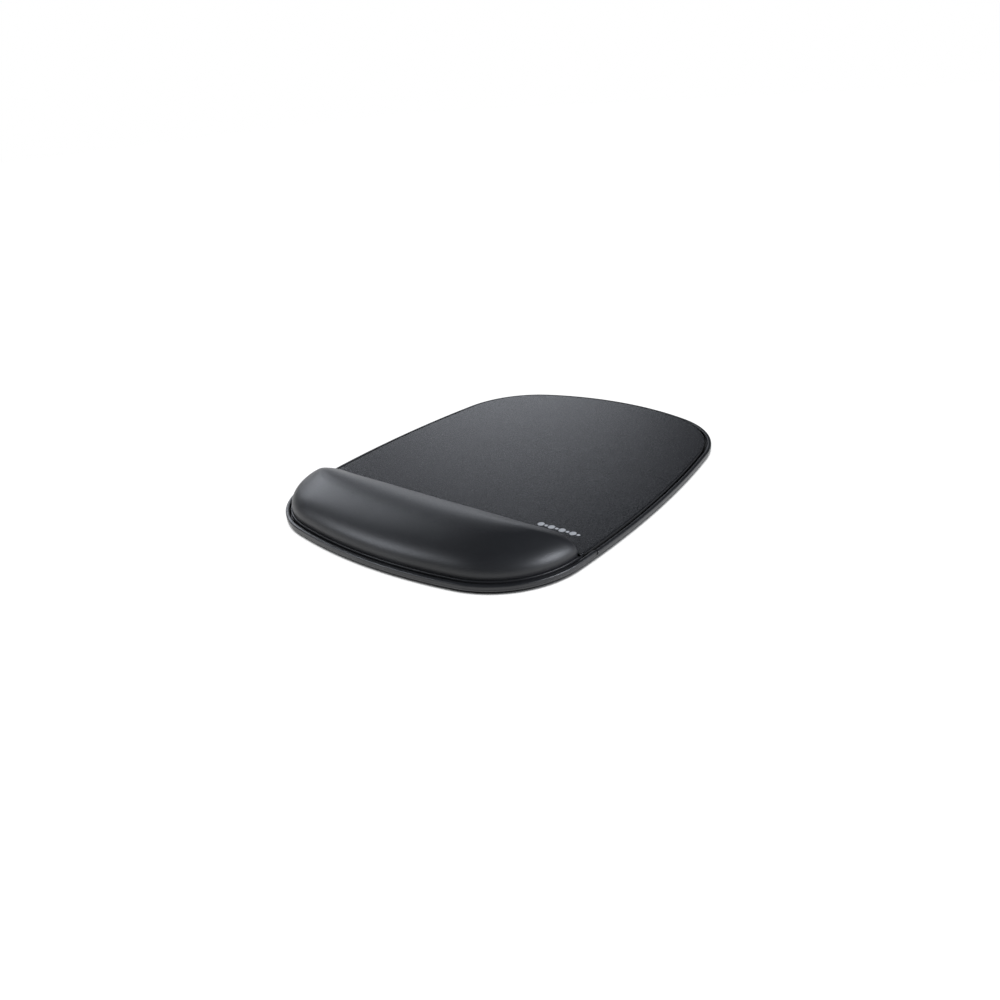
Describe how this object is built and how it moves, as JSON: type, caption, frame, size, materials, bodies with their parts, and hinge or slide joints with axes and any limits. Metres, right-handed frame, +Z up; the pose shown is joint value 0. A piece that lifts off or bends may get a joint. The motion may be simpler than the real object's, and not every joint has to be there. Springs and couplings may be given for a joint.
{
  "type": "mouse pad with wrist rest",
  "caption": "Rounded black mouse pad with a raised bead round its edge and a domed, leather-look gel wrist cushion across the front.",
  "frame": {"origin": "on the desk, below the middle of the pad's outline box", "axes": "+X to the user's right across the pad, +Y away from the user, +Z up"},
  "size_m": [0.18, 0.229, 0.02],
  "materials": {
    "tray_rubber": "moulded soft black polyurethane, satin, faintly pebbled",
    "rim_rubber": "moulded soft black polyurethane bead, satin",
    "sole_rubber": "black grip rubber, matte, fine raised dots",
    "surface_sheet": "black plastic film with a fine speckled micro-grain",
    "mark_ink": "pale grey printed ink, matte",
    "core_foam": "closed-cell black foam sheet",
    "cover_leather": "smooth black imitation leather, satin, very fine grain",
    "gel": "soft translucent polyurethane gel",
    "gel_film": "thin clear welded film",
    "rest_foam": "slow-recovery cream foam",
    "backing_board": "stiff black polypropylene sheet",
    "glue": "dried contact glue film"
  },
  "bodies": {
    "root": {"base_tray": "tray_rubber", "cushion_rim": "rim_rubber", "non_slip_sole": "sole_rubber", "sole_adhesive": "glue", "core_adhesive": "glue", "pad_core": "core_foam", "surface_adhesive": "glue", "mouse_surface": "surface_sheet", "printed_mark": "mark_ink", "cushion_adhesive": "glue", "cushion_backing": "backing_board", "cushion_cover": "cover_leather", "foam_bed": "rest_foam", "gel_film_lower": "gel_film", "gel_film_upper": "gel_film", "gel_core": "gel"}
  },
  "joints": []
}
